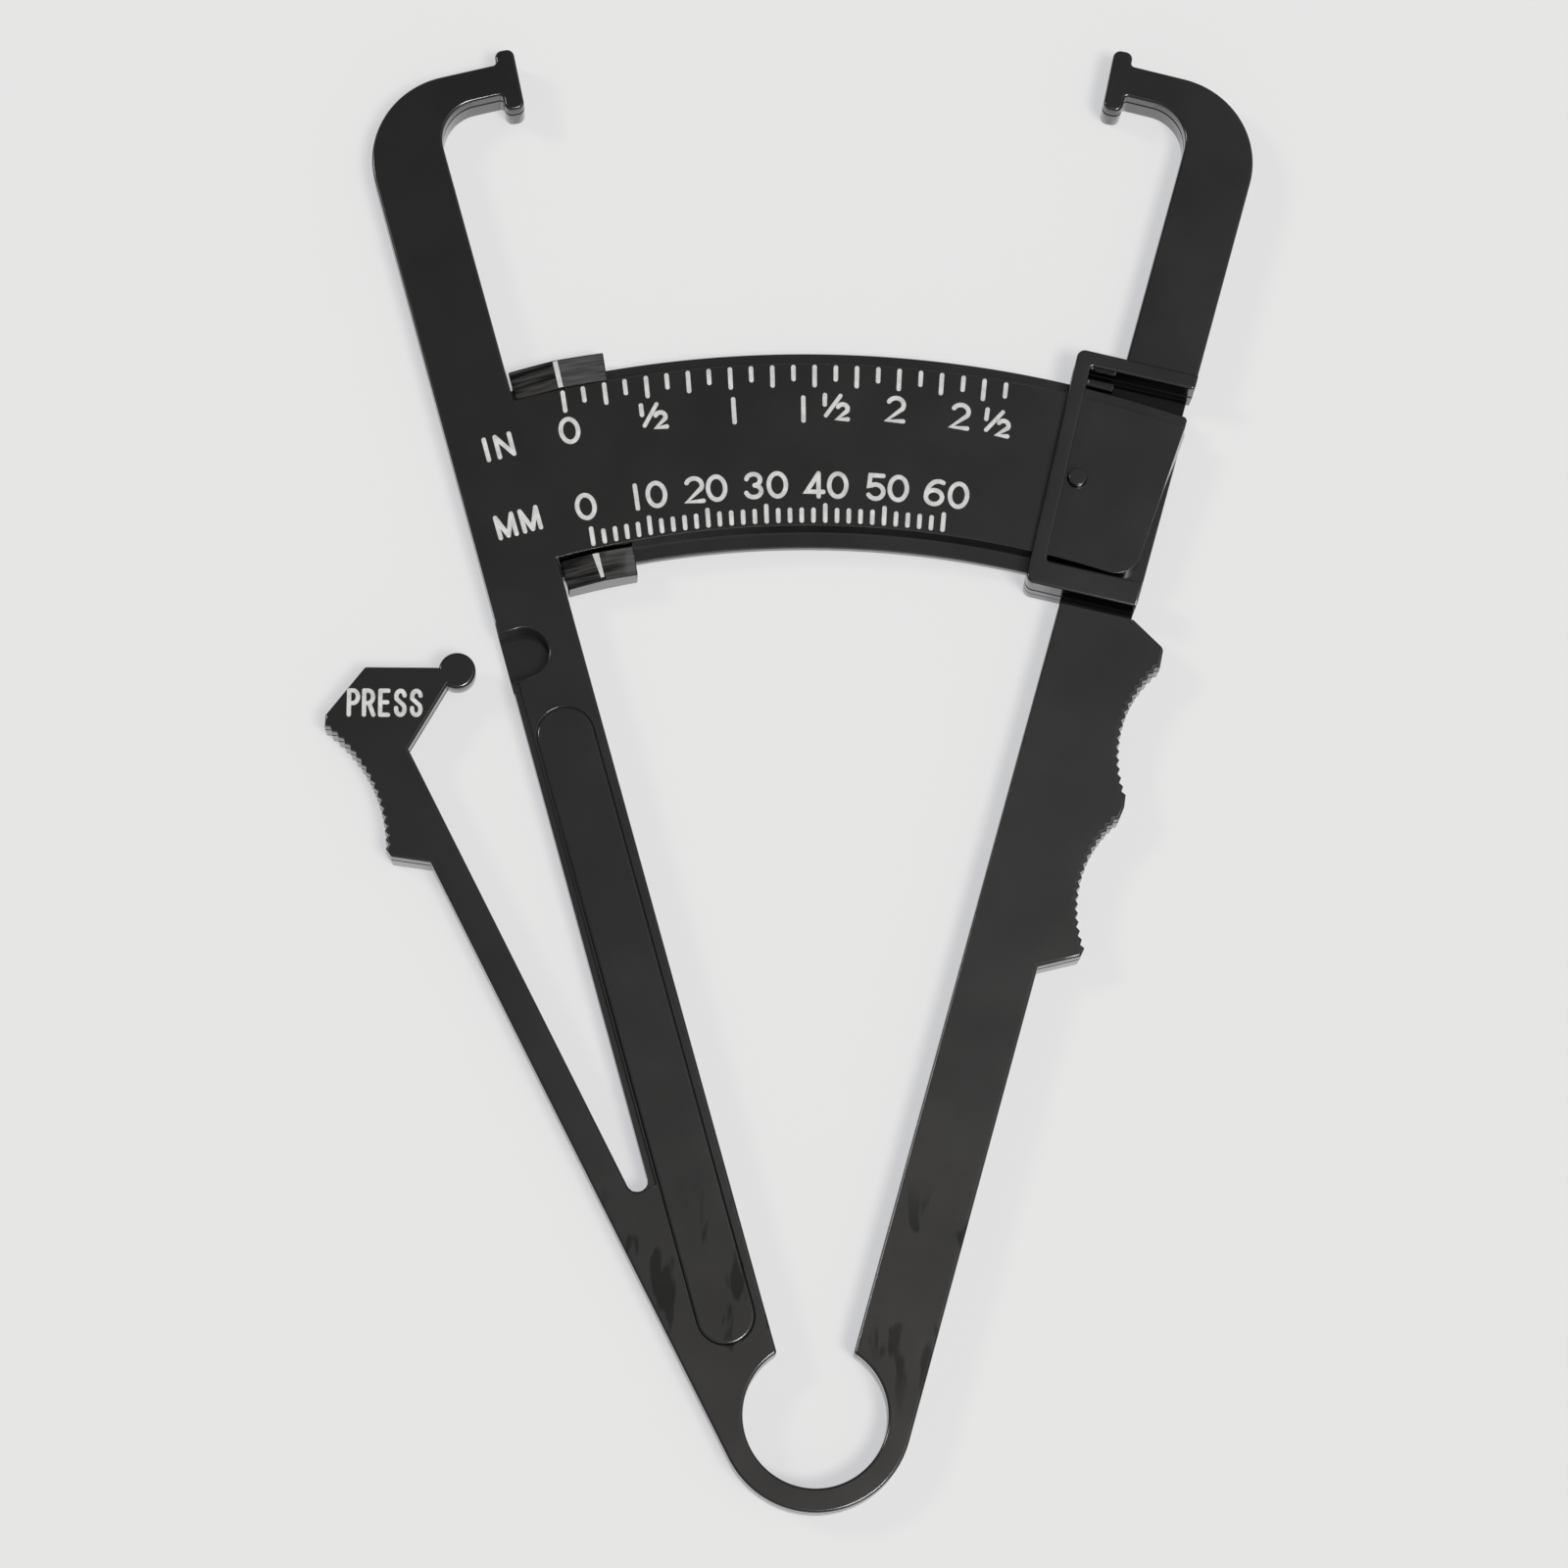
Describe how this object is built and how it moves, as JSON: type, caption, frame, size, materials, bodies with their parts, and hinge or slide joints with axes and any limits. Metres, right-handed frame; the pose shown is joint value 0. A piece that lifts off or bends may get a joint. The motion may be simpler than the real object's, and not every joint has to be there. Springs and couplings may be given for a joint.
{
  "type": "skinfold caliper",
  "caption": "Flat springy plastic skinfold caliper: hooked jaws on arms joined by a ring spring, curved scale with slider, and a thumb lever with a click stop.",
  "frame": {"origin": "middle of the bounding box's length and width, on the plane of the unmarked back face", "axes": "+X to the right arm, +Y to the jaws, +Z out of the marked face"},
  "size_m": [0.1086, 0.1728, 0.0069],
  "materials": {
    "body_plastic": "satin black moulded plastic",
    "slider_plastic": "glossy black moulded plastic"
  },
  "bodies": {
    "left_side": {"left_arm": "body_plastic", "left_jaw": "body_plastic", "scale_arc": "body_plastic", "ring_spring": "body_plastic", "thumb_spring": "body_plastic"},
    "right_side": {"right_arm": "body_plastic", "scale_guide": "body_plastic", "right_jaw": "body_plastic"},
    "lever_pad": {"thumb_pad": "body_plastic"},
    "reading_slider": {"slider": "slider_plastic"}
  },
  "joints": [
    {"name": "jaw_close", "type": "hinge", "parent": "left_side", "child": "right_side", "pos_m": [0.00219, -0.08408, 0.00275], "axis": [0, 0, 1], "range_deg": [0, 23.4], "stiffness_Nm_per_rad": 0.9, "springref_deg": -4.58, "deforming": ["ring_spring"]},
    {"name": "thumb_press", "type": "hinge", "parent": "left_side", "child": "lever_pad", "pos_m": [-0.01949, -0.04304, 0.00275], "axis": [0, 0, -1], "range_deg": [0, 8.17], "stiffness_Nm_per_rad": 0.35, "deforming": ["thumb_spring"]},
    {"name": "slider_travel", "type": "hinge", "parent": "left_side", "child": "reading_slider", "pos_m": [0.00219, -0.08408, 0.00275], "axis": [0, 0, -1], "range_deg": [0, 23.4]}
  ]
}
